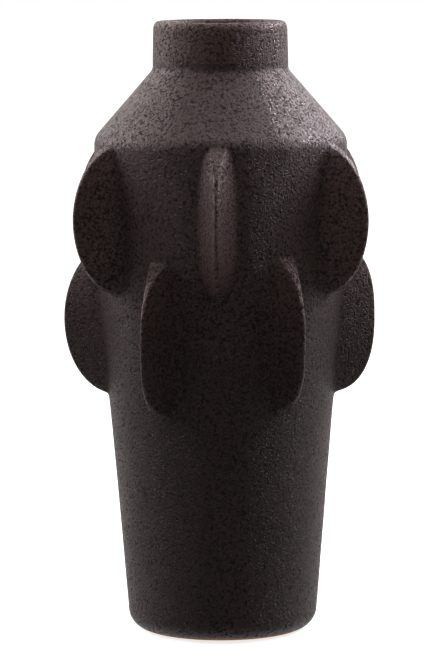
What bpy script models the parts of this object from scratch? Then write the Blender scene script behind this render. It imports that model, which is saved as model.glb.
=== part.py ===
"""Stoneware vase, 400 mm tall, built up from thrown and hand-formed clay pieces.

The vessel is four turned pieces stacked on one axis: the foot, the tapering wall, the
conical shoulder and the neck collar. Twelve half-disc fins stand out from it in two rows
of six, the lower row turned half a step so that it sits between the upper one.
Neighbouring pieces keep a slip joint of 0.3 mm. Metres, +Z up, the foot stands on z = 0,
the fin that the vase is shown by points along -Y.
"""

import math

import bmesh
import bpy

HEIGHT = 0.400
JOINT = 0.0003
WALL_THICKNESS = 0.0075

LIP_OUTER_RADIUS = 0.0437
LIP_ROUNDING = 0.0032
NECK_BORE_RADIUS = 0.0372
NECK_ROOT_RADIUS = 0.0443
NECK_ROOT_HEIGHT = 0.36885
NECK_FILLET = 0.006
NECK_JOINT_HEIGHT = 0.374

SHOULDER_EDGE_RADIUS = 0.08255
SHOULDER_EDGE_HEIGHT = 0.3247
SHOULDER_EDGE_ROUNDING = 0.0132
SHOULDER_INNER_ROUNDING = 0.0080
SHOULDER_JOINT_HEIGHT = 0.3155

WALL_UPRIGHT_HEIGHT = 0.3180
WALL_STRAIGHT_HEIGHT = 0.2004
WALL_TAPER = 0.084
WALL_JOINT_HEIGHT = 0.0100

FOOT_ROUNDING = 0.0120
FOOT_RING_RADIUS = 0.0497
FOOT_RING_INNER_RADIUS = 0.0400
FOOT_RING_BEVEL = 0.0015
FOOT_RECESS = 0.0018

TURNED_STEPS = 60

FIN_ROOT_HALF_WIDTH = 0.0128
FIN_EDGE_RADIUS = 0.0016
FIN_END_DEPTH = 0.0012
FIN_END_NARROWING = 0.30
FIN_ROWS = 15

UPPER_FIN_HEIGHT = 0.2750
UPPER_FIN_HALF_HEIGHT = 0.0485
UPPER_FIN_CHORD_RADIUS = 0.0750
UPPER_FIN_REACH = 0.1090
UPPER_FIN_FIRST_AZIMUTH = 0.0

LOWER_FIN_HEIGHT = 0.2064
LOWER_FIN_HALF_HEIGHT = 0.0500
LOWER_FIN_CHORD_RADIUS = 0.0705
LOWER_FIN_REACH = 0.1022
LOWER_FIN_FIRST_AZIMUTH = 30.0

FINS_PER_ROW = 6


def wall_radius(height):
    """Outer radius of the wall: upright at the top, easing into a straight taper."""
    eased = WALL_UPRIGHT_HEIGHT - WALL_STRAIGHT_HEIGHT
    if height >= WALL_UPRIGHT_HEIGHT:
        return SHOULDER_EDGE_RADIUS
    if height >= WALL_STRAIGHT_HEIGHT:
        drop = WALL_UPRIGHT_HEIGHT - height
        return SHOULDER_EDGE_RADIUS - 0.5 * WALL_TAPER * drop * drop / eased
    below = WALL_STRAIGHT_HEIGHT - height
    return SHOULDER_EDGE_RADIUS - 0.5 * WALL_TAPER * eased - WALL_TAPER * below


def foot_radius(height):
    """Outer radius of the foot's rounded corner below the straight wall."""
    below = FOOT_ROUNDING - height
    middle = wall_radius(FOOT_ROUNDING) - FOOT_ROUNDING
    return middle + math.sqrt(FOOT_ROUNDING * FOOT_ROUNDING - below * below)


def rounded_corner(before, corner, after, radius, steps):
    """Points of an arc that replaces the corner between two straight runs."""
    bx, bz = before[0] - corner[0], before[1] - corner[1]
    ax, az = after[0] - corner[0], after[1] - corner[1]
    b_length = math.hypot(bx, bz)
    a_length = math.hypot(ax, az)
    bx, bz, ax, az = bx / b_length, bz / b_length, ax / a_length, az / a_length
    half = 0.5 * math.acos(max(-1.0, min(1.0, bx * ax + bz * az)))
    reach = radius / math.tan(half)
    mx, mz = bx + ax, bz + az
    m_length = math.hypot(mx, mz)
    centre_x = corner[0] + mx / m_length * radius / math.sin(half)
    centre_z = corner[1] + mz / m_length * radius / math.sin(half)
    start = math.atan2(corner[1] + bz * reach - centre_z, corner[0] + bx * reach - centre_x)
    end = math.atan2(corner[1] + az * reach - centre_z, corner[0] + ax * reach - centre_x)
    sweep = (end - start + math.pi) % (2.0 * math.pi) - math.pi
    return [
        (
            centre_x + radius * math.cos(start + sweep * i / steps),
            centre_z + radius * math.sin(start + sweep * i / steps),
        )
        for i in range(steps + 1)
    ]


def give_material(item, colour, roughness):
    """One Principled material of the piece's own colour and roughness."""
    material = bpy.data.materials.new(item.name + "_clay")
    material.use_nodes = True
    shader = material.node_tree.nodes["Principled BSDF"]
    shader.inputs["Base Color"].default_value = (colour[0], colour[1], colour[2], 1.0)
    shader.inputs["Roughness"].default_value = roughness
    shader.inputs["Metallic"].default_value = 0.0
    material.diffuse_color = (colour[0], colour[1], colour[2], 1.0)
    item.data.materials.append(material)


def add_mesh(name, shell, colour, roughness):
    """Turn a bmesh into a named object with smooth shading and outward faces."""
    bmesh.ops.remove_doubles(shell, verts=shell.verts, dist=1e-7)
    bmesh.ops.recalc_face_normals(shell, faces=shell.faces)
    data = bpy.data.meshes.new(name)
    shell.to_mesh(data)
    shell.free()
    for face in data.polygons:
        face.use_smooth = True
    item = bpy.data.objects.new(name, data)
    bpy.context.scene.collection.objects.link(item)
    give_material(item, colour, roughness)
    return item


def turned_piece(name, outline, colour, roughness):
    """A closed outline of (radius, height) turned about the vase's axis."""
    shell = bmesh.new()
    rings = []
    for radius, height in outline:
        if radius < 1e-9:
            rings.append([shell.verts.new((0.0, 0.0, height))] * TURNED_STEPS)
            continue
        ring = []
        for step in range(TURNED_STEPS):
            angle = 2.0 * math.pi * step / TURNED_STEPS
            ring.append(shell.verts.new((radius * math.cos(angle), radius * math.sin(angle), height)))
        rings.append(ring)
    count = len(rings)
    for i in range(count):
        lower = rings[i]
        upper = rings[(i + 1) % count]
        if lower[0] is lower[1] and upper[0] is upper[1]:
            continue
        for step in range(TURNED_STEPS):
            following = (step + 1) % TURNED_STEPS
            corners = [lower[step], lower[following], upper[following], upper[step]]
            face = []
            for corner in corners:
                if corner not in face:
                    face.append(corner)
            shell.faces.new(face)
    return add_mesh(name, shell, colour, roughness)


def fin_reach(height, centre, half_height, chord_radius, reach):
    """Radius of the fin's outer edge at a height: half an ellipse on an upright chord."""
    ratio = min(1.0, abs(height - centre) / half_height)
    return chord_radius + (reach - chord_radius) * math.sqrt(1.0 - ratio * ratio)


def fin_end(centre, half_height, chord_radius, reach, side):
    """Height at which the fin's outer edge comes down to its least depth on the wall."""
    near, far = centre, centre + side * half_height
    for _ in range(60):
        middle = 0.5 * (near + far)
        depth = fin_reach(middle, centre, half_height, chord_radius, reach) - wall_radius(middle)
        if depth > JOINT + FIN_END_DEPTH:
            near = middle
        else:
            far = middle
    return near


def fin_section(root_radius, tip_radius, half_width):
    """Level section of a fin, a wedge on the round wall, as (outward, sideways) points."""
    ridge = min(FIN_EDGE_RADIUS, 0.6 * (tip_radius - root_radius))
    root = []
    for i in range(5):
        sideways = half_width * (1.0 - 0.5 * i)
        root.append((math.sqrt(root_radius * root_radius - sideways * sideways), sideways))
    tip_centre = tip_radius - ridge
    slope = math.atan2(half_width - ridge, tip_radius - root_radius)
    first = 0.5 * math.pi - slope
    edge = []
    for i in range(5):
        angle = -first + 2.0 * first * i / 4.0
        edge.append((tip_centre + ridge * math.cos(angle), ridge * math.sin(angle)))
    middle_out = 0.5 * (root[4][0] + edge[0][0])
    middle_side = 0.5 * (root[4][1] + edge[0][1])
    return root + [(middle_out, middle_side)] + edge + [(middle_out, -middle_side)]


def fin_piece(name, azimuth, centre, half_height, chord_radius, reach, colour):
    """A half-disc fin standing radially on the wall, thick at the root, thin at its edge."""
    top = fin_end(centre, half_height, chord_radius, reach, 1.0)
    bottom = fin_end(centre, half_height, chord_radius, reach, -1.0)
    middle = 0.5 * (top + bottom)
    span = 0.5 * (top - bottom)
    turn = math.radians(azimuth)
    outward = (math.sin(turn), -math.cos(turn))
    sideways = (math.cos(turn), math.sin(turn))
    shell = bmesh.new()
    rings = []
    for row in range(FIN_ROWS):
        angle = math.pi * (row / (FIN_ROWS - 1.0) - 0.5)
        height = middle + span * math.sin(angle)
        ratio = abs(height - middle) / span
        half_width = FIN_ROOT_HALF_WIDTH * (1.0 - FIN_END_NARROWING * ratio**6)
        tip = fin_reach(height, centre, half_height, chord_radius, reach)
        ring = []
        for out, side in fin_section(wall_radius(height) + JOINT, tip, half_width):
            x = outward[0] * out + sideways[0] * side
            y = outward[1] * out + sideways[1] * side
            ring.append(shell.verts.new((x, y, height)))
        rings.append(ring)
    count = len(rings[0])
    for row in range(FIN_ROWS - 1):
        for i in range(count):
            j = (i + 1) % count
            shell.faces.new([rings[row][i], rings[row][j], rings[row + 1][j], rings[row + 1][i]])
    shell.faces.new(rings[0])
    shell.faces.new(rings[-1])
    return add_mesh(name, shell, colour, 0.55)


for old in list(bpy.data.objects):
    bpy.data.objects.remove(old, do_unlink=True)

GLAZE = (0.070, 0.058, 0.058)
FIN_GLAZE = (0.078, 0.064, 0.064)
RAW_CLAY = (0.360, 0.250, 0.170)

# The foot: a thick flat slab with a rounded outer corner, a raw ring to stand on and a
# shallow recess inside the ring. The wall stands on its rim.
foot_top = WALL_JOINT_HEIGHT - 0.5 * JOINT
foot_outline = [
    (0.0, FOOT_RECESS),
    (FOOT_RING_INNER_RADIUS - FOOT_RING_BEVEL, FOOT_RECESS),
    (FOOT_RING_INNER_RADIUS, 0.0),
    (FOOT_RING_RADIUS, 0.0),
]
for share in (0.02, 0.08, 0.18, 0.32, 0.50, 0.74, 1.0):
    foot_outline.append((foot_radius(foot_top * share), foot_top * share))
foot_outline.append((0.0, foot_top))
turned_piece("base_slab", foot_outline, RAW_CLAY, 0.85)

# The wall: a tall tapering tube, upright at the top.
wall_low = WALL_JOINT_HEIGHT + 0.5 * JOINT
wall_high = SHOULDER_JOINT_HEIGHT - 0.5 * JOINT
wall_heights = [FOOT_ROUNDING, 0.080, 0.140, WALL_STRAIGHT_HEIGHT]
for i in range(1, 5):
    wall_heights.append(WALL_STRAIGHT_HEIGHT + (wall_high - WALL_STRAIGHT_HEIGHT) * i / 5.0)
wall_heights.append(wall_high)
wall_outline = [(foot_radius(wall_low), wall_low)]
wall_outline += [(wall_radius(height), height) for height in wall_heights]
wall_outline += [(wall_radius(height) - WALL_THICKNESS, height) for height in reversed(wall_heights[1:])]
wall_outline.append((wall_radius(wall_low) - WALL_THICKNESS, wall_low))
turned_piece("body_wall", wall_outline, GLAZE, 0.55)

# The shoulder: a cone with a rounded lower edge and a soft upper corner into the neck.
edge_corner = (SHOULDER_EDGE_RADIUS, SHOULDER_EDGE_HEIGHT)
neck_corner = (NECK_ROOT_RADIUS, NECK_ROOT_HEIGHT)
shoulder_low = SHOULDER_JOINT_HEIGHT + 0.5 * JOINT
shoulder_high = NECK_JOINT_HEIGHT - 0.5 * JOINT
above_neck_corner = (NECK_ROOT_RADIUS, HEIGHT)
below_edge_corner = (SHOULDER_EDGE_RADIUS, 0.0)
shoulder_outline = [(SHOULDER_EDGE_RADIUS, shoulder_low)]
shoulder_outline += rounded_corner(below_edge_corner, edge_corner, neck_corner, SHOULDER_EDGE_ROUNDING, 5)
shoulder_outline += rounded_corner(edge_corner, neck_corner, above_neck_corner, NECK_FILLET, 4)
shoulder_outline.append((NECK_ROOT_RADIUS, shoulder_high))
cone_turn = math.atan2(
    SHOULDER_EDGE_RADIUS - NECK_ROOT_RADIUS, NECK_ROOT_HEIGHT - SHOULDER_EDGE_HEIGHT
)
inner_shift = WALL_THICKNESS * math.tan(0.5 * cone_turn)
inner_edge = (SHOULDER_EDGE_RADIUS - WALL_THICKNESS, SHOULDER_EDGE_HEIGHT - inner_shift)
inner_neck = (NECK_BORE_RADIUS, NECK_ROOT_HEIGHT - inner_shift)
above_inner_neck = (NECK_BORE_RADIUS, HEIGHT)
below_inner_edge = (inner_edge[0], 0.0)
shoulder_outline.append((NECK_BORE_RADIUS, shoulder_high))
shoulder_outline += rounded_corner(above_inner_neck, inner_neck, inner_edge, NECK_FILLET, 3)
shoulder_outline += rounded_corner(inner_neck, inner_edge, below_inner_edge, SHOULDER_INNER_ROUNDING, 3)
shoulder_outline.append((inner_edge[0], shoulder_low))
turned_piece("shoulder", shoulder_outline, GLAZE, 0.55)

# The neck: a short upright collar with a fully rounded lip.
neck_low = NECK_JOINT_HEIGHT + 0.5 * JOINT
lip_height = HEIGHT - LIP_ROUNDING
neck_outline = [(NECK_ROOT_RADIUS, neck_low), (LIP_OUTER_RADIUS, lip_height)]
lip_middle = 0.5 * (LIP_OUTER_RADIUS + NECK_BORE_RADIUS)
lip_half = 0.5 * (LIP_OUTER_RADIUS - NECK_BORE_RADIUS)
for i in range(1, 8):
    angle = math.pi * i / 8.0
    lip_radius = lip_middle + lip_half * math.cos(angle)
    neck_outline.append((lip_radius, lip_height + LIP_ROUNDING * math.sin(angle)))
neck_outline.append((NECK_BORE_RADIUS, lip_height))
neck_outline.append((NECK_BORE_RADIUS, neck_low))
turned_piece("neck", neck_outline, GLAZE, 0.55)

# The fins: six around the top of the wall, flush with the shoulder's edge, and six lower
# down between them.
for number in range(FINS_PER_ROW):
    turned_by = 360.0 * number / FINS_PER_ROW
    fin_piece(
        "upper_fin_" + str(number + 1),
        UPPER_FIN_FIRST_AZIMUTH + turned_by,
        UPPER_FIN_HEIGHT,
        UPPER_FIN_HALF_HEIGHT,
        UPPER_FIN_CHORD_RADIUS,
        UPPER_FIN_REACH,
        FIN_GLAZE,
    )
    fin_piece(
        "lower_fin_" + str(number + 1),
        LOWER_FIN_FIRST_AZIMUTH + turned_by,
        LOWER_FIN_HEIGHT,
        LOWER_FIN_HALF_HEIGHT,
        LOWER_FIN_CHORD_RADIUS,
        LOWER_FIN_REACH,
        FIN_GLAZE,
    )
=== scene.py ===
import math

import bpy
import numpy as np
from mathutils import Matrix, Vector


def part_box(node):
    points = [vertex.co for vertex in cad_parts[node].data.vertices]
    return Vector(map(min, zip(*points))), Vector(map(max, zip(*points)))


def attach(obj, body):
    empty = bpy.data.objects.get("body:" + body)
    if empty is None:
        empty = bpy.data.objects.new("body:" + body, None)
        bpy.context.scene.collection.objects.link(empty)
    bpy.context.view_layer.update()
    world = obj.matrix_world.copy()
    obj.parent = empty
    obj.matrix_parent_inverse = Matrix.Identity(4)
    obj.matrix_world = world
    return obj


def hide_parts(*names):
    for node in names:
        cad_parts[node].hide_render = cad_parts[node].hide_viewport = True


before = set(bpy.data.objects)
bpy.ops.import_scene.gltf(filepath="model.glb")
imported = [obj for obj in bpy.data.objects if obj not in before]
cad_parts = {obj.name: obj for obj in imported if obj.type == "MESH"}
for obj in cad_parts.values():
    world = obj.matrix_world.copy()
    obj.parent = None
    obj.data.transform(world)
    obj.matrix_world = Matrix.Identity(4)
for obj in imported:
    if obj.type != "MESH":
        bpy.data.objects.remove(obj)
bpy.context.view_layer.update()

# --- The foot: raw clay ---------------------------------------------------------------
# The vase stands on a thick slab of buff stoneware, cut as a disc and pressed flat. Its
# underside and the start of its rounded corner are left raw, with a standing ring turned
# round a shallow recess. Angles on the corner count from 270 degrees, its foot, to 360.

FOOT_SWELL = 0.0007
FOOT_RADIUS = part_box("base_slab")[1].x + FOOT_SWELL
FOOT_JOINT = 0.5 * (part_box("base_slab")[1].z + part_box("body_wall")[0].z)
FOOT_ROUNDING = 0.0140
RING_OUTER_RADIUS = FOOT_RADIUS - FOOT_ROUNDING
RING_INNER_RADIUS = 0.0400
RING_RECESS = 0.0018
RING_SOFTNESS = 0.0009
RAW_CORNER_END = 308.0
GLAZED_CORNER_END = 340.0
SLAB_EDGE_GAP = 0.0010
POLE_RADIUS = 0.004
GLAZE_THICKNESS = 0.00035


def arc(centre, radius, start, end, count):
    """Points on a circle: centre + radius (cos a, sin a), with a going evenly from start to
    end, in degrees. Returns an array of (radius from the axis, height)."""
    a = np.radians(np.linspace(start, end, count))
    return np.column_stack((centre[0] + radius * np.cos(a), centre[1] + radius * np.sin(a)))


def evenly_spaced(outline, spacing):
    """The same outline with points added so that no step is longer than spacing: each span
    is divided into equal parts, so corners and arcs keep their own points."""
    outline = np.asarray(outline, float)
    lengths = np.linalg.norm(np.diff(outline, axis=0), axis=1)
    parts = np.maximum(1, np.ceil(lengths / spacing)).astype(int)
    places = np.concatenate([i + np.arange(n) / n for i, n in enumerate(parts)] + [[len(parts)]])
    index = np.arange(len(outline))
    return np.column_stack([np.interp(places, index, outline[:, k]) for k in (0, 1)])


def hand_wobble(points):
    """How far the potter's hand leaves the clay from its true shape, in metres outwards: a
    weighted sum of twelve plane waves, 30 to 200 mm long, in seeded directions, faded out at
    the foot. It depends only on the place, so neighbouring pieces wobble together."""
    draw = np.random.default_rng(7)
    waves = draw.normal(size=(12, 3))
    waves /= np.linalg.norm(waves, axis=1)[:, None]
    lengths = np.geomspace(0.030, 0.200, 12)
    phases = draw.uniform(0.0, 2.0 * math.pi, 12)
    angles = points @ (waves * (2.0 * math.pi / lengths)[:, None]).T + phases
    fade = np.clip(points[..., 2] / 0.02, 0.0, 1.0)
    return fade * 0.0006 * (np.sin(angles) @ (lengths / lengths.sum()))


def add_piece(name, points, faces, material):
    """A smooth mesh object from an array of points and an array of four-sided faces. Points
    that no face uses are dropped, a repeated corner makes a triangle, and edges that turn
    more than 40 degrees stay sharp."""
    used, faces = np.unique(faces, return_inverse=True)
    faces = faces.reshape(-1, 4)
    mesh = bpy.data.meshes.new(name)
    corners = [list(dict.fromkeys(face)) for face in faces.tolist()]
    mesh.from_pydata(points.reshape(-1, 3)[used].tolist(), [], corners)
    mesh.polygons.foreach_set("use_smooth", np.ones(len(mesh.polygons), bool))
    mesh.set_sharp_from_angle(angle=math.radians(40.0))
    mesh.materials.append(material)
    mesh.update()
    piece = bpy.data.objects.new(name, mesh)
    bpy.context.scene.collection.objects.link(piece)
    return piece


def closed_grid_faces(number):
    """Four-sided faces of a grid of vertex numbers that closes on itself both ways: each face
    joins one number, the next round, and the same two in the following row."""
    following = np.roll(number, -1, axis=0)
    return np.stack(
        (number, np.roll(number, -1, axis=1), np.roll(following, -1, axis=1), following), axis=-1
    ).reshape(-1, 4)


def turned_piece(name, outline, steps, material):
    """A closed outline turned round the vase's axis: point (i, j) is at radius r(i) and height
    z(i), turned by 2 pi j / steps from the front, and moved outwards by the hand's wobble.
    The outline runs anticlockwise, up the outside and back inside. A point on the axis is one
    vertex."""
    turn = 2.0 * math.pi * np.arange(steps) / steps
    r = outline[:, 0][:, None]
    z = np.broadcast_to(outline[:, 1][:, None], (len(outline), steps))
    points = np.stack((r * np.sin(turn), -r * np.cos(turn), z), axis=-1)
    points[..., :2] *= (1.0 + hand_wobble(points) / np.maximum(r, 0.01))[..., None]
    number = np.arange(len(outline) * steps).reshape(-1, steps)
    on_axis = outline[:, 0] < 1e-9
    number[on_axis] = number[on_axis][:, :1]
    faces = closed_grid_faces(number)
    flat = (faces[:, 0] == faces[:, 1]) & (faces[:, 2] == faces[:, 3])
    return add_piece(name, points, faces[~flat], material)


def new_material(name):
    """An empty node material: its shader, and short ways to add a node and to join two."""
    material = bpy.data.materials.new(name)
    material.use_nodes = True
    tree = material.node_tree

    def node(kind, settings=None, **values):
        made = tree.nodes.new("ShaderNode" + kind)
        for key, value in (settings or {}).items():
            setattr(made, key, value)
        for key, value in values.items():
            made.inputs[key.replace("_", " ")].default_value = value
        return made

    def join(source, output, target, entry):
        tree.links.new(source.outputs[output], target.inputs[entry])

    return material, tree.nodes["Principled BSDF"], node, join


def colour_ramp(node, join, source, output, stops):
    """A colour ramp fed by one output of a node: stops are (position, colour)."""
    made = node("ValToRGB")
    band = made.color_ramp
    band.elements[0].position, band.elements[0].color = stops[0][0], (*stops[0][1], 1.0)
    band.elements[1].position, band.elements[1].color = stops[-1][0], (*stops[-1][1], 1.0)
    for position, colour in stops[1:-1]:
        band.elements.new(position).color = (*colour, 1.0)
    join(source, output, made, "Fac")
    return made


def multiply(node, join, first, first_output, second, second_output):
    """The product of two colours."""
    made = node("Mix", {"data_type": "RGBA", "blend_type": "MULTIPLY"})
    made.inputs[0].default_value = 1.0
    join(first, first_output, made, 6)
    join(second, second_output, made, 7)
    return made


def raw_clay():
    """Unglazed buff stoneware: dry and sandy, with dark iron grains and a toasted bloom."""
    material, shader, node, join = new_material("raw_buff_clay")
    place = node("TexCoord")
    sand = node("TexNoise", Scale=900.0, Detail=4.0, Roughness=0.7)
    toast = node("TexNoise", Scale=45.0, Detail=2.0)
    join(place, "Object", sand, "Vector")
    join(place, "Object", toast, "Vector")
    body = colour_ramp(node, join, sand, "Fac", [
        (0.30, (0.16, 0.08, 0.04)), (0.42, (0.50, 0.29, 0.13)), (0.75, (0.66, 0.43, 0.23))])
    tone = colour_ramp(node, join, toast, "Fac", [
        (0.3, (0.75, 0.66, 0.58)), (0.7, (1.0, 1.0, 1.0))])
    toasted = multiply(node, join, body, "Color", tone, "Color")
    join(toasted, 2, shader, "Base Color")
    bump = node("Bump", Strength=1.0, Distance=0.0002)
    join(sand, "Fac", bump, "Height")
    join(bump, "Normal", shader, "Normal")
    shader.inputs["Roughness"].default_value = 0.85
    return material


RAW_CLAY = raw_clay()

slab_top = FOOT_JOINT - GLAZE_THICKNESS
recess_radius = RING_INNER_RADIUS - 2 * RING_SOFTNESS
corner_centre = (RING_OUTER_RADIUS, FOOT_ROUNDING)
under_glaze = FOOT_ROUNDING - GLAZE_THICKNESS
foot_clay = turned_piece("foot_raw_clay", np.vstack((
    [(0.0, RING_RECESS)],
    evenly_spaced([(POLE_RADIUS, RING_RECESS), (recess_radius, RING_RECESS)], 0.004),
    arc((recess_radius, RING_SOFTNESS), RING_SOFTNESS, 90.0, 0.0, 5),
    arc((RING_INNER_RADIUS, RING_SOFTNESS), RING_SOFTNESS, 180.0, 270.0, 5),
    arc(corner_centre, FOOT_ROUNDING, 270.0, RAW_CORNER_END, 12),
    arc(corner_centre, under_glaze, RAW_CORNER_END + 1.0, GLAZED_CORNER_END, 12),
    [(FOOT_RADIUS - SLAB_EDGE_GAP, slab_top), (0.0, slab_top)],
)), 240, RAW_CLAY)
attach(foot_clay, "root")
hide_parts("base_slab")

# --- The foot: glaze ------------------------------------------------------------------
# The glaze is wiped back from the standing ring before firing, so it ends on the rounded
# corner in a soft, low bead that wanders a little round the foot. It lies over the clay as
# a thin skin. The same glaze covers every other piece of the vase.

GLAZE_LINE = 303.0
GLAZE_SPOT = (0.0110, 0.0075, 0.0060)
GLAZE_BROWN = (0.0440, 0.0300, 0.0245)
GLAZE_PLUM = (0.0720, 0.0520, 0.0455)
# Near-black painted shade inside the pits.
GLAZE_PIT_SHADE = (0.0040, 0.0028, 0.0024)
# How much lighter the glaze colour gets where it is marked, for thin glaze and for painted light.
GLAZE_LIGHTENED = (2.5, 2.3, 2.2)
# Painted shade: how much darker the glaze colour is low on the vase.
GLAZE_PAINTED_LOW_SHADE = (0.55, 0.54, 0.50)
GLAZE_SHEEN_TINT = (1.0, 0.83, 0.86)
GRAIN = 0.0007
BEADS = 0.0010
SPOTS = 0.0019
PIT_SPACING = 0.0042


def speckled_glaze():
    """Semi-matt brown-black glaze: dark spots on a plum ground, a fine grain, glassy beads that
    glint, small pits with painted shade in them and a slow drift of tone. Painted light makes it
    lighter on the collar and on the fins' flanks, thin glaze with a painted highlight lightens the
    fins' rims, and painted shade makes it darker low down."""
    material, shader, node, join = new_material("speckled_dark_glaze")
    place = node("TexCoord")
    grain = node("TexNoise", Scale=1.0 / GRAIN, Detail=3.0, Roughness=0.65)
    spots = node("TexNoise", Scale=1.0 / SPOTS, Detail=2.0, Roughness=0.60)
    beads = node("TexNoise", Scale=1.0 / BEADS, Detail=1.0)
    peel = node("TexNoise", Scale=0.18 / SPOTS, Detail=2.0, Roughness=0.5)
    drift = node("TexNoise", Scale=22.0, Detail=3.0, Roughness=0.55)
    pits = node("TexVoronoi", Scale=1.0 / PIT_SPACING)
    for pattern in (grain, spots, beads, peel, drift, pits):
        join(place, "Object", pattern, "Vector")

    # Each pit takes its own size from its cell's colour.
    size = node("MapRange", To_Min=0.02, To_Max=0.30)
    join(pits, "Color", size, "Value")
    pit = node("MapRange", {"interpolation_type": "SMOOTHSTEP"}, To_Min=1.0, To_Max=0.0)
    join(pits, "Distance", pit, "Value")
    join(size, "Result", pit, "From Max")

    body = colour_ramp(node, join, spots, "Fac", [
        (0.41, GLAZE_SPOT), (0.455, GLAZE_BROWN), (0.62, GLAZE_PLUM)])
    sand = colour_ramp(node, join, grain, "Fac", [
        (0.34, (0.60, 0.58, 0.56)), (0.50, (1.0, 1.0, 1.0)), (0.68, (1.6, 1.6, 1.7))])
    sanded = multiply(node, join, body, "Color", sand, "Color")
    tone = colour_ramp(node, join, drift, "Fac", [
        (0.30, (0.78, 0.74, 0.72)), (0.70, (1.16, 1.14, 1.16))])
    # Painted shade: the colour is darker below 0.18 m high, easing back to full by 0.25 m.
    axes = node("SeparateXYZ")
    join(place, "Object", axes, 0)
    low_shade = colour_ramp(node, join, axes, "Z", [(0.18, GLAZE_PAINTED_LOW_SHADE), (0.25, (1.0, 1.0, 1.0))])
    drift_and_low_shade = multiply(node, join, tone, "Color", low_shade, "Color")
    toned = multiply(node, join, sanded, 2, drift_and_low_shade, 2)
    # Lighter where marked: thin glaze with a painted highlight on the fins' rims, painted light on
    # the collar and on the fins' flanks.
    lightening = node("Attribute", {"attribute_name": "thin_glaze"})
    lightened_tint = colour_ramp(node, join, lightening, "Fac", [(0.0, (1.0, 1.0, 1.0)), (1.0, GLAZE_LIGHTENED)])
    lightened = multiply(node, join, toned, 2, lightened_tint, "Color")
    # The pits are real pinholes, and their near-black colour is painted shade inside them.
    pit_shaded = node("Mix", {"data_type": "RGBA"})
    pit_shaded.inputs[7].default_value = (*GLAZE_PIT_SHADE, 1.0)
    join(pit, "Result", pit_shaded, 0)
    join(lightened, 2, pit_shaded, 6)
    join(pit_shaded, 2, shader, "Base Color")

    # The plateau between the spots is smoother, the spots are rough hollows, and here and
    # there a glassy bead stands up and glints.
    plateau = node("MapRange", {"interpolation_type": "SMOOTHSTEP"}, From_Min=0.37, From_Max=0.46)
    join(spots, "Fac", plateau, "Value")
    glassy = node("MapRange", {"interpolation_type": "SMOOTHSTEP"}, From_Min=0.56, From_Max=0.64)
    join(beads, "Fac", glassy, "Value")
    rough = node("MapRange", To_Min=0.85, To_Max=0.34)
    join(plateau, "Result", rough, "Value")
    beaded = node("Math", {"operation": "MULTIPLY_ADD"})
    beaded.inputs[1].default_value = -0.24
    join(glassy, "Result", beaded, 0)
    join(rough, "Result", beaded, 2)
    join(beaded, "Value", shader, "Roughness")

    height, output = grain, "Fac"
    for pattern, entry, weight in (
        (plateau, "Result", 2.3), (glassy, "Result", 2.6), (spots, "Fac", 1.4),
        (peel, "Fac", 1.2), (pit, "Result", -0.8),
    ):
        added = node("Math", {"operation": "MULTIPLY_ADD"})
        added.inputs[1].default_value = weight
        join(pattern, entry, added, 0)
        join(height, output, added, 2)
        height, output = added, "Value"
    bump = node("Bump", Strength=1.0, Distance=0.00032)
    join(height, output, bump, "Height")
    join(bump, "Normal", shader, "Normal")
    shader.inputs["IOR"].default_value = 1.5
    shader.inputs["Specular Tint"].default_value = (*GLAZE_SHEEN_TINT, 1.0)
    return material


GLAZE = speckled_glaze()


def foot_glaze_skin(steps):
    """The glaze on the foot's rounded corner: at each turn round the axis the skin's section
    is the corner's arc from the wandering glaze line up to the joint, a half-round bead at
    its lower end, and the same arc one glaze thickness inside. Returns points and faces."""
    turn = 2.0 * math.pi * np.arange(steps) / steps
    wander = 1.2 * np.sin(2 * turn + 0.6) + 0.8 * np.sin(5 * turn + 2.0) + 0.5 * np.sin(11 * turn)
    line = GLAZE_LINE + wander
    top = 360.0 - math.degrees(math.asin((FOOT_ROUNDING - FOOT_JOINT) / FOOT_ROUNDING))
    share = np.linspace(0.0, 1.0, 22)[:, None]
    angle = np.radians(line + (top - line) * share)
    bead = np.linspace(0.0, math.pi, 7)[1:-1, None]
    middle = FOOT_ROUNDING - 0.5 * GLAZE_THICKNESS
    bead_radius = middle - 0.5 * GLAZE_THICKNESS * np.cos(bead) + 0.0 * turn
    bead_angle = angle[0] - 0.5 * GLAZE_THICKNESS * np.sin(bead) / middle
    outside = np.full_like(angle, FOOT_ROUNDING)
    radii = np.vstack((outside, outside - GLAZE_THICKNESS, bead_radius))
    angles = np.vstack((angle, angle[::-1], bead_angle))
    r = RING_OUTER_RADIUS + radii * np.cos(angles)
    z = FOOT_ROUNDING + radii * np.sin(angles)
    points = np.stack((r * np.sin(turn), -r * np.cos(turn), z), axis=-1)
    points[..., :2] *= (1.0 + hand_wobble(points) / r)[..., None]
    return points, closed_grid_faces(np.arange(r.size).reshape(r.shape))


foot_glaze = add_piece("foot_glaze", *foot_glaze_skin(360), GLAZE)
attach(foot_glaze, "root")
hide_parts("base_slab")

# --- The wall -------------------------------------------------------------------------
# A tall thrown or coiled tube of clay, upright at the top and easing into a straight taper
# down to the foot. It is 7.5 mm thick and glazed inside and out.

EDGE_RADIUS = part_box("body_wall")[1].x
SHOULDER_JOINT = 0.5 * (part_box("body_wall")[1].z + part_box("shoulder")[0].z)
WALL_THICKNESS = 0.0075
UPRIGHT_HEIGHT = 0.3180
STRAIGHT_HEIGHT = 0.2004
TAPER = (EDGE_RADIUS - FOOT_RADIUS) / (
    0.5 * (UPRIGHT_HEIGHT - STRAIGHT_HEIGHT) + STRAIGHT_HEIGHT - FOOT_ROUNDING)


def wall_radius(z):
    """Outside radius of the wall at height z: the edge radius above the upright height, then
    a parabola whose slope grows evenly to the taper, then a straight line."""
    eased = UPRIGHT_HEIGHT - STRAIGHT_HEIGHT
    drop = np.clip(UPRIGHT_HEIGHT - z, 0.0, eased)
    below = np.clip(STRAIGHT_HEIGHT - z, 0.0, None)
    return EDGE_RADIUS - 0.5 * TAPER * drop**2 / eased - TAPER * below


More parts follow.
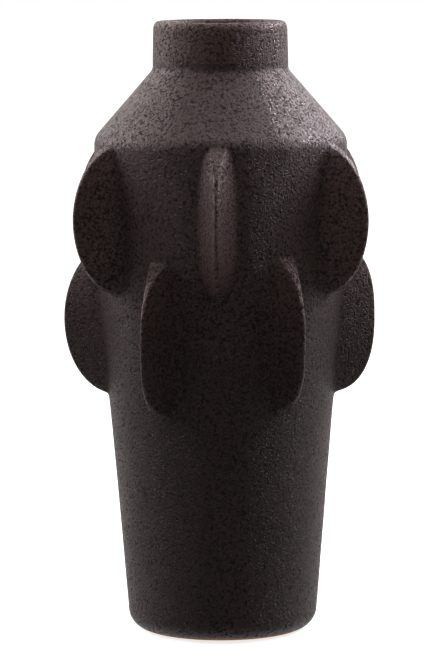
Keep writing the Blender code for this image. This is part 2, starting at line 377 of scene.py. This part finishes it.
joint_angle = math.degrees(math.asin(1.0 - FOOT_JOINT / FOOT_ROUNDING))
wall_up = np.linspace(FOOT_ROUNDING, SHOULDER_JOINT, 128)[1:]
wall_down = np.linspace(SHOULDER_JOINT, FOOT_JOINT, 70)
wall = turned_piece("vessel_wall", np.vstack((
    arc(corner_centre, FOOT_ROUNDING, -joint_angle, 0.0, 5),
    np.column_stack((wall_radius(wall_up), wall_up)),
    np.column_stack((wall_radius(wall_down) - WALL_THICKNESS, wall_down)),
)), 360, GLAZE)
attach(wall, "root")
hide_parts("body_wall")

# Inside, the glaze pools over the floor and curves up to the wall.
POOL_GAP = 0.0002
POOL_CURVE = 0.006
inside_radius = float(wall_radius(FOOT_JOINT)) - WALL_THICKNESS
pool_radius = inside_radius - POOL_GAP
pool_flat_radius = inside_radius - 2.0 * POOL_CURVE
floor_glaze = turned_piece("floor_glaze", np.vstack((
    [(0.0, slab_top), (pool_radius, slab_top)],
    arc((pool_radius - POOL_CURVE, FOOT_JOINT + POOL_CURVE), POOL_CURVE, 0.0, -90.0, 10),
    evenly_spaced([(pool_flat_radius, FOOT_JOINT), (POLE_RADIUS, FOOT_JOINT)], 0.005),
    [(0.0, FOOT_JOINT)],
)), 180, GLAZE)
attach(floor_glaze, "root")
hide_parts("base_slab")

# --- The shoulder ---------------------------------------------------------------------
# A cone of clay set on the wall and paddled to it, so the widest edge is rounded over. Its
# top is drawn up into the foot of the collar.

NECK_JOINT = 0.5 * (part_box("shoulder")[1].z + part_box("neck")[0].z)
NECK_ROOT_RADIUS = 0.0443
NECK_ROOT_HEIGHT = 0.36885
NECK_FILLET = 0.0060
EDGE_HEIGHT = 0.3247
EDGE_ROUNDING = 0.0132
BORE_RADIUS = 0.0372
INSIDE_ROUNDING = 0.0080


def rounded_corner(before, corner, after, radius, count):
    """The arc of one radius that touches both straight runs meeting at a corner: its ends are
    radius / tan(half the angle) from the corner, its centre is on the angle's bisector."""
    before, corner, after = (np.asarray(p, float) for p in (before, corner, after))
    back = (before - corner) / np.linalg.norm(before - corner)
    on = (after - corner) / np.linalg.norm(after - corner)
    half = 0.5 * math.acos(float(back @ on))
    middle = (back + on) / np.linalg.norm(back + on)
    centre = corner + middle * radius / math.sin(half)
    first = corner + back * radius / math.tan(half) - centre
    last = corner + on * radius / math.tan(half) - centre
    start = math.degrees(math.atan2(first[1], first[0]))
    sweep = (math.degrees(math.atan2(last[1], last[0])) - start + 180.0) % 360.0 - 180.0
    return arc(centre, radius, start, start + sweep, count)


edge_corner = (EDGE_RADIUS, EDGE_HEIGHT)
neck_corner = (NECK_ROOT_RADIUS, NECK_ROOT_HEIGHT)
cone_turn = math.atan2(EDGE_RADIUS - NECK_ROOT_RADIUS, NECK_ROOT_HEIGHT - EDGE_HEIGHT)
inside_shift = WALL_THICKNESS * math.tan(0.5 * cone_turn)
inside_edge = (EDGE_RADIUS - WALL_THICKNESS, EDGE_HEIGHT - inside_shift)
inside_neck = (BORE_RADIUS, NECK_ROOT_HEIGHT - inside_shift)
far_above = 1.0
edge_arc = rounded_corner((EDGE_RADIUS, 0.0), edge_corner, neck_corner, EDGE_ROUNDING, 18)
shoulder = turned_piece("vessel_shoulder", evenly_spaced(np.vstack((
    [(EDGE_RADIUS, SHOULDER_JOINT)],
    edge_arc,
    rounded_corner(edge_corner, neck_corner, (NECK_ROOT_RADIUS, far_above), NECK_FILLET, 12),
    [(NECK_ROOT_RADIUS, NECK_JOINT), (BORE_RADIUS, NECK_JOINT)],
    rounded_corner((BORE_RADIUS, far_above), inside_neck, inside_edge, NECK_FILLET, 8),
    rounded_corner(inside_neck, inside_edge, (inside_edge[0], 0.0), INSIDE_ROUNDING, 8),
    [(inside_edge[0], SHOULDER_JOINT)],
)), 0.0016), 360, GLAZE)
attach(shoulder, "root")
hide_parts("shoulder")

# --- The collar -----------------------------------------------------------------------
# A short upright ring of clay luted on top, leaning in by half a millimetre, with its lip
# sponged fully round. Its glaze colour is lightened with painted light from above, more towards
# the lip.

RIM_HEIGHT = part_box("neck")[1].z
LIP_OUTER_RADIUS = 0.0437
LIP_ROUNDING = 0.0032
LIP_OUTER_ROUNDING = 0.0054
LIP_POINTS = 25
COLLAR_PAINTED_LIGHT_AT_ROOT = 0.30
COLLAR_PAINTED_LIGHT_AT_LIP = 0.60


def mark_glaze_lightening(piece, lightening):
    """Store how much the glaze's colour is lightened at each vertex, 0 to 1, for the glaze to
    read.
    """
    values = piece.data.attributes.new("thin_glaze", "FLOAT", "POINT")
    values.data.foreach_set("value", np.clip(lightening, 0.0, 1.0).astype(np.float32))


def vertex_places(piece):
    """The piece's vertices as an array of places."""
    places = np.empty(3 * len(piece.data.vertices), np.float32)
    piece.data.vertices.foreach_get("co", places)
    return places.reshape(-1, 3).astype(float)


lip_middle = 0.5 * (LIP_OUTER_RADIUS + BORE_RADIUS)
lip_half = 0.5 * (LIP_OUTER_RADIUS - BORE_RADIUS)
lip_arc = arc((0.0, 0.0), 1.0, 0.0, 180.0, LIP_POINTS)
lip_rounding = np.where(np.arange(LIP_POINTS) < LIP_POINTS // 2, LIP_OUTER_ROUNDING, LIP_ROUNDING)
lip_arc[:, 0] = lip_middle + lip_half * lip_arc[:, 0]
lip_arc[:, 1] = RIM_HEIGHT - lip_rounding * (1.0 - lip_arc[:, 1])
neck = turned_piece("vessel_collar", evenly_spaced(np.vstack((
    [(NECK_ROOT_RADIUS, NECK_JOINT)],
    lip_arc,
    [(BORE_RADIUS, NECK_JOINT)],
)), 0.0014), 300, GLAZE)
# Painted light: the collar's colour is lightened from its root up to the lip, as light falling
# from above would.
collar_height = (vertex_places(neck)[:, 2] - NECK_JOINT) / (RIM_HEIGHT - NECK_JOINT)
more_painted_light_at_lip = COLLAR_PAINTED_LIGHT_AT_LIP - COLLAR_PAINTED_LIGHT_AT_ROOT
mark_glaze_lightening(neck, COLLAR_PAINTED_LIGHT_AT_ROOT + more_painted_light_at_lip * collar_height)
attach(neck, "root")
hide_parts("neck")

# --- The fins -------------------------------------------------------------------------
# Each fin is a half-disc of clay rolled to a wedge, thick at the root and thin at its rim,
# scored and slipped onto the wall. The joint is smoothed with a finger into a soft fillet.

FIN_ROOT_HALF_WIDTH = 0.0123
FIN_ROOT_OVERRUN = 1.04
FIN_ROOT_POWER = 0.385
FIN_RIM_RADIUS = 0.0018
FIN_END_RIM_EXTRA = 0.0012
FIN_FILLET = 0.0034
FIN_END_FILLET = 0.0030
FIN_BLUNTNESS = 0.80
FIN_STEEPEST = 0.985
FIN_MARGIN = 0.0100
FIN_OVERLENGTH = 0.0013
FIN_BURIED = 0.0030
FIN_SKIRT_SIDE = (0.0012, 0.0022, 0.0030)
FIN_SKIRT_UP = (-0.00002, -0.00012, -0.0008)
FIN_SUNK = 0.00004
FIN_ROWS = 150
# Lightening of the fins' colour: thin glaze with a painted highlight near the rim, painted light
# on the flanks.
FIN_RIM_LIGHTENING_DEPTH = 0.0020
FIN_RIM_THIN_GLAZE_AND_HIGHLIGHT = 0.60
FIN_RIM_LIGHTENING_HEIGHT = 0.016
FIN_FLANK_PAINTED_LIGHT = 0.26
FIN_FLANK_PAINTED_LIGHT_HEIGHT = 0.0050


def vessel_radius(z):
    """Outside radius of the vase at height z: the wall's own up to the shoulder's arc, then
    straight lines between that arc's points and on to the root of the neck."""
    outline_z = np.concatenate((edge_arc[:, 1], [NECK_ROOT_HEIGHT]))
    outline_r = np.concatenate((edge_arc[:, 0], [NECK_ROOT_RADIUS]))
    return np.where(z < edge_arc[0, 1], wall_radius(z), np.interp(z, outline_z, outline_r))


def fin_points(azimuth, reach, middle, half_height, chord_radius, lean, fullness):
    """A fin as a grid of (row, place round its section), and how much its glaze colour is
    lightened there.

    Down the rim, with x the distance from the middle over the half height, the rim stands at
    chord + (reach - chord) (1 - x^n)^(1/n), where n is the fullness above and below the middle.
    Its ends run on at their steepest slope, and its height above the wall is rounded into the
    wall by h = (r + sqrt(r^2 + k^2)) / 2, with r the plain height. Each level section has a
    flat top, wider towards the ends, two corners of radius e, straight flanks aimed at w from
    the middle, with w = W (1 - (x / overrun)^3)^power, and two arcs of radius f down to the
    wall, where a skirt goes under the surface. The section's height is laid outwards from the
    round wall, and lean tips it."""
    span = half_height + FIN_MARGIN
    z = middle + span * np.sin(0.5 * math.pi * np.linspace(-1.0, 1.0, FIN_ROWS))
    x = np.abs(z - middle) / half_height
    inside = np.minimum(x, FIN_STEEPEST)
    power = np.where(z > middle, fullness[0], fullness[1])
    rim = chord_radius + (reach - chord_radius) * (1.0 - inside**power) ** (1.0 / power)
    slope = (reach - chord_radius) * FIN_STEEPEST / math.sqrt(1.0 - FIN_STEEPEST**2)
    rim -= slope * np.maximum(x - FIN_STEEPEST, 0.0)
    base = vessel_radius(z)
    raw = rim - base
    h = 0.5 * (raw + np.sqrt(raw**2 + FIN_END_FILLET**2))
    along = np.minimum(x / FIN_ROOT_OVERRUN, FIN_STEEPEST)
    w = FIN_ROOT_HALF_WIDTH * (1.0 - along**3) ** FIN_ROOT_POWER
    lower = np.clip(1.0 - h / h.max(), 0.0, 1.0)
    top = FIN_BLUNTNESS * w * lower**3

    # The rim's and the fillet's radii shrink smoothly to nothing where the fin does, and the
    # flank's tilt from upright makes it touch the rim's circle.
    e = FIN_RIM_RADIUS + FIN_END_RIM_EXTRA * lower
    e = e * (1.0 - np.exp(-0.5 * h / e))
    f = FIN_FILLET * (1.0 - np.exp(-h / FIN_FILLET))
    tilt = np.arctan2(h - e, w - top) + np.arcsin(e / np.hypot(w - top, h - e))
    e, f, tilt, h, w, top = (row[:, None] for row in (e, f, tilt, h, w, top))
    flat = np.linspace(0.0, 1.0, 4)[:-1]
    turn = tilt * np.linspace(0.0, 1.0, 8)
    rim_side = np.hstack((top * flat, top + e * np.sin(turn)))
    rim_up = np.hstack((h + 0.0 * flat, h - e + e * np.cos(turn)))
    turn = tilt * np.linspace(1.0, 0.0, 9)
    foot_side = w + f * np.tan(0.5 * tilt) - f * np.sin(turn)
    foot_up = f * (1.0 - np.cos(turn))
    share = np.linspace(0.0, 1.0, 13)[1:-1]
    flank_side = rim_side[:, -1:] + (foot_side[:, :1] - rim_side[:, -1:]) * share
    flank_up = rim_up[:, -1:] + (foot_up[:, :1] - rim_up[:, -1:]) * share
    skirt_side = foot_side[:, -1:] + np.array(FIN_SKIRT_SIDE)
    skirt_up = np.broadcast_to(FIN_SKIRT_UP, skirt_side.shape)
    side = np.hstack((rim_side, flank_side, foot_side, skirt_side, skirt_side[:, -1:]))
    up = np.hstack((rim_up, flank_up, foot_up, skirt_up, np.full_like(h, -FIN_BURIED)))
    side = np.hstack((side, -side[:, :0:-1]))
    up = np.hstack((up, up[:, :0:-1]))

    out = np.sqrt(base[:, None] ** 2 - side**2) + up - FIN_SUNK
    side = side + lean * np.maximum(up, 0.0)
    a = math.radians(azimuth)
    points = np.stack((
        out * math.sin(a) + side * math.cos(a),
        -out * math.cos(a) + side * math.sin(a),
        np.broadcast_to(z[:, None], out.shape)), axis=-1)
    radius = np.linalg.norm(points[..., :2], axis=-1)
    points[..., :2] *= (1.0 + hand_wobble(points) / radius)[..., None]
    # The rim is lightened as thin glaze with a painted highlight on it, and the flanks with
    # painted light that grows away from the wall.
    near_rim = np.clip(1.0 - (h - up) / FIN_RIM_LIGHTENING_DEPTH, 0.0, 1.0)
    rim_thin_and_highlight = FIN_RIM_THIN_GLAZE_AND_HIGHLIGHT * near_rim * np.clip(h / FIN_RIM_LIGHTENING_HEIGHT, 0.0, 1.0) ** 2
    flank_painted_light = FIN_FLANK_PAINTED_LIGHT * np.clip(up / FIN_FLANK_PAINTED_LIGHT_HEIGHT, 0.0, 1.0)
    lightening = np.maximum(rim_thin_and_highlight, flank_painted_light)
    return points, np.broadcast_to(lightening, out.shape)


def fin_faces(rows, count):
    """Four-sided faces round every pair of neighbouring sections, and across each end section a
    strip of them that joins its two halves."""
    number = np.arange(rows * count).reshape(rows, count)
    following = np.roll(number, -1, axis=1)
    faces = [np.stack((number[:-1], following[:-1], following[1:], number[1:]), axis=-1)]
    left = np.arange((count - 1) // 2)
    right = (count - left) % count
    for row, order in ((0, (0, 1, 2, 3)), (rows - 1, (3, 2, 1, 0))):
        strip = np.stack((number[row, left], number[row, right],
                          number[row, (right - 1) % count], number[row, left + 1]), axis=-1)
        faces.append(strip[:, order])
    return np.concatenate([part.reshape(-1, 4) for part in faces])


def add_fin(name, node, azimuth, reach, middle, half_height, chord_radius, lean, fullness):
    """One fin in place of its clay solid, closed at both ends inside the wall."""
    points, lightening = fin_points(
        azimuth, reach, middle, half_height, chord_radius, lean, fullness)
    piece = add_piece(name, points, fin_faces(*lightening.shape), GLAZE)
    mark_glaze_lightening(piece, lightening.reshape(-1))
    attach(piece, "root")
    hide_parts(node)


# Each fin's own reach, turn round the vase, lean, drop, and fullness above and below its
# middle, as the maker's hand left them.
UPPER_FINS = (
    (0.1090, -1.2, -0.035, 0.0004, (2.0, 2.0)),
    (0.1087, 0.4, 0.0, 0.0010, (1.92, 2.0)),
    (0.1088, -0.5, 0.01, 0.0, (2.1, 2.0)),
    (0.1092, 0.6, -0.01, -0.0004, (2.0, 2.0)),
    (0.1086, 0.3, 0.0, 0.0005, (2.0, 2.1)),
    (0.1090, -0.3, 0.0, 0.0006, (1.92, 1.96)),
)
LOWER_FINS = (
    (0.1028, 0.8, 0.0, 0.0010, (2.0, 2.8)),
    (0.1008, 0.0, 0.0, -0.0012, (2.6, 2.4)),
    (0.1020, 0.6, 0.01, 0.0005, (2.0, 2.2)),
    (0.1026, -0.5, 0.0, 0.0, (2.1, 2.1)),
    (0.1028, 0.2, 0.0, -0.0009, (2.0, 2.0)),
    (0.1029, 0.4, 0.0, 0.0045, (2.0, 3.0)),
)

for row_name, first, chord, fins_by_hand in (
    ("upper_fin", 0.0, 0.0750, UPPER_FINS),
    ("lower_fin", 30.0, 0.0705, LOWER_FINS),
):
    for i, (reach, turn, lean, drop, fullness) in enumerate(fins_by_hand):
        fin_node = row_name + "_" + str(i + 1)
        low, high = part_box(fin_node)
        middle = 0.5 * (low.z + high.z) - drop
        half_height = 0.5 * (high.z - low.z) + FIN_OVERLENGTH
        add_fin("vase_" + fin_node, fin_node, first + 60.0 * i + turn, reach, middle,
                half_height, chord, lean, fullness)

# --- The studio -----------------------------------------------------------------------
# A plain pale floor that runs out of sight, pale surroundings behind the vase, a soft box
# and a small lamp behind it on each side and a weak soft box overhead. The camera looks
# slightly down.

floor_mesh = bpy.data.meshes.new("studio_floor")
FLOOR_HALF = 12.0
floor_mesh.from_pydata(
    [(-FLOOR_HALF, -FLOOR_HALF, 0.0), (FLOOR_HALF, -FLOOR_HALF, 0.0),
     (FLOOR_HALF, FLOOR_HALF, 0.0), (-FLOOR_HALF, FLOOR_HALF, 0.0)], [], [(0, 1, 2, 3)])
floor = bpy.data.objects.new("studio_floor", floor_mesh)
bpy.context.scene.collection.objects.link(floor)
floor_paint, floor_shader, _, _ = new_material("pale_floor")
floor_shader.inputs["Base Color"].default_value = (0.82, 0.82, 0.82, 1.0)
floor_shader.inputs["Roughness"].default_value = 0.9
floor_shader.inputs["Emission Color"].default_value = (1.0, 1.0, 1.0, 1.0)
floor_shader.inputs["Emission Strength"].default_value = 0.72
floor_mesh.materials.append(floor_paint)
floor.visible_glossy = False
floor.visible_diffuse = False

world = bpy.data.worlds.new("studio")
bpy.context.scene.world = world
world.use_nodes = True
tree = world.node_tree
tree.nodes.clear()


def world_node(kind, **values):
    """A node of the surroundings, with its inputs set by name."""
    made = tree.nodes.new("ShaderNode" + kind)
    for key, value in values.items():
        made.inputs[key.replace("_", " ")].default_value = value
    return made


direction = world_node("TexCoord")
axes = world_node("SeparateXYZ")
tree.links.new(direction.outputs["Generated"], axes.inputs[0])
behind = world_node("MapRange", From_Min=-0.10, From_Max=0.75)
behind.interpolation_type = "SMOOTHSTEP"
tree.links.new(axes.outputs["Y"], behind.inputs["Value"])
height = world_node("MapRange", From_Min=-1.0, From_Max=1.0)
tree.links.new(axes.outputs["Z"], height.inputs["Value"])


def by_height(stops):
    """Brightness of the surroundings by the height of the direction, 0 below to 1 above:
    stops are (height, brightness) joined by straight lines."""
    made = world_node("ValToRGB")
    band = made.color_ramp
    most = max(value for _, value in stops)
    while len(band.elements) < len(stops):
        band.elements.new(0.5)
    for element, (position, value) in zip(band.elements, stops):
        element.position = position
        element.color = (value / most, value / most, value / most, 1.0)
    tree.links.new(height.outputs["Result"], made.inputs["Fac"])
    scaled = tree.nodes.new("ShaderNodeMath")
    scaled.operation = "MULTIPLY"
    scaled.inputs[1].default_value = most
    tree.links.new(made.outputs["Color"], scaled.inputs[0])
    return scaled


back_light = by_height([
    (0.0, 0.6), (0.42, 0.48), (0.50, 0.68), (0.58, 1.0), (0.75, 1.15), (1.0, 0.8)])
front_light = by_height([
    (0.0, 0.40), (0.28, 0.22), (0.42, 0.08), (0.5, 0.06), (0.75, 0.15), (1.0, 0.6)])
total = tree.nodes.new("ShaderNodeMath")
total.operation = "MULTIPLY_ADD"
tree.links.new(behind.outputs["Result"], total.inputs[0])
tree.links.new(back_light.outputs[0], total.inputs[1])
tree.links.new(front_light.outputs[0], total.inputs[2])
surroundings = world_node("Background", Color=(1.0, 0.95, 0.93, 1.0))
tree.links.new(total.outputs[0], surroundings.inputs["Strength"])
backdrop = world_node("Background", Color=(1.0, 1.0, 1.0, 1.0), Strength=1.0)
seen = world_node("LightPath")
chosen = world_node("MixShader")
result = world_node("OutputWorld")
tree.links.new(seen.outputs["Is Camera Ray"], chosen.inputs[0])
tree.links.new(surroundings.outputs[0], chosen.inputs[1])
tree.links.new(backdrop.outputs[0], chosen.inputs[2])
tree.links.new(chosen.outputs[0], result.inputs["Surface"])


def soft_box(name, place, aim, width, height, power, colour):
    """A rectangular soft light at a place, turned to face the aim."""
    light = bpy.data.lights.new(name, "AREA")
    light.shape = "RECTANGLE"
    light.size, light.size_y = width, height
    light.energy = power
    light.color = colour
    lamp = bpy.data.objects.new(name, light)
    bpy.context.scene.collection.objects.link(lamp)
    to_aim = np.subtract(aim, place)
    lamp.location = place
    yaw = math.atan2(to_aim[1], to_aim[0]) - 0.5 * math.pi
    pitch = math.atan2(to_aim[2], math.hypot(to_aim[0], to_aim[1]))
    lamp.rotation_euler = (0.5 * math.pi + pitch, 0.0, yaw)
    lamp.visible_camera = False


soft_box("left_box", (-1.18, 0.36, 0.82), (0.0, 0.0, 0.30), 0.7, 0.7, 10.8, (1.0, 0.92, 0.94))
soft_box("right_box", (1.12, 0.47, 0.93), (0.0, 0.0, 0.30), 0.7, 0.7, 16.0, (0.98, 0.92, 1.0))
soft_box("right_lamp", (0.92, 1.05, 1.00), (0.0, 0.0, 0.34), 0.10, 0.10, 6.0, (0.97, 0.92, 1.0))
soft_box("left_lamp", (-0.95, 1.02, 0.98), (0.0, 0.0, 0.34), 0.10, 0.10, 1.2, (1.0, 0.95, 0.92))
soft_box("top_box", (0.10, -0.10, 0.80), (0.0, 0.0, 0.30), 0.6, 0.6, 0.8, (1.0, 0.90, 0.92))

CAMERA_DISTANCE = 2.500
CAMERA_HEIGHT = 0.4900
CAMERA_PITCH = 6.668
CAMERA_YAW = 0.028
CAMERA_ROLL = -0.255
CAMERA_LENS = 209.3
camera_data = bpy.data.cameras.new("camera")
camera_data.sensor_width = 36.0
camera_data.lens = CAMERA_LENS
camera_data.clip_end = 100.0
camera = bpy.data.objects.new("camera", camera_data)
bpy.context.scene.collection.objects.link(camera)
camera.matrix_world = (
    Matrix.Translation((0.0, -CAMERA_DISTANCE, CAMERA_HEIGHT))
    @ Matrix.Rotation(math.radians(CAMERA_YAW), 4, "Z")
    @ Matrix.Rotation(math.radians(90.0 - CAMERA_PITCH), 4, "X")
    @ Matrix.Rotation(math.radians(CAMERA_ROLL), 4, "Z")
)
bpy.context.scene.camera = camera
bpy.context.scene.view_settings.view_transform = "Standard"
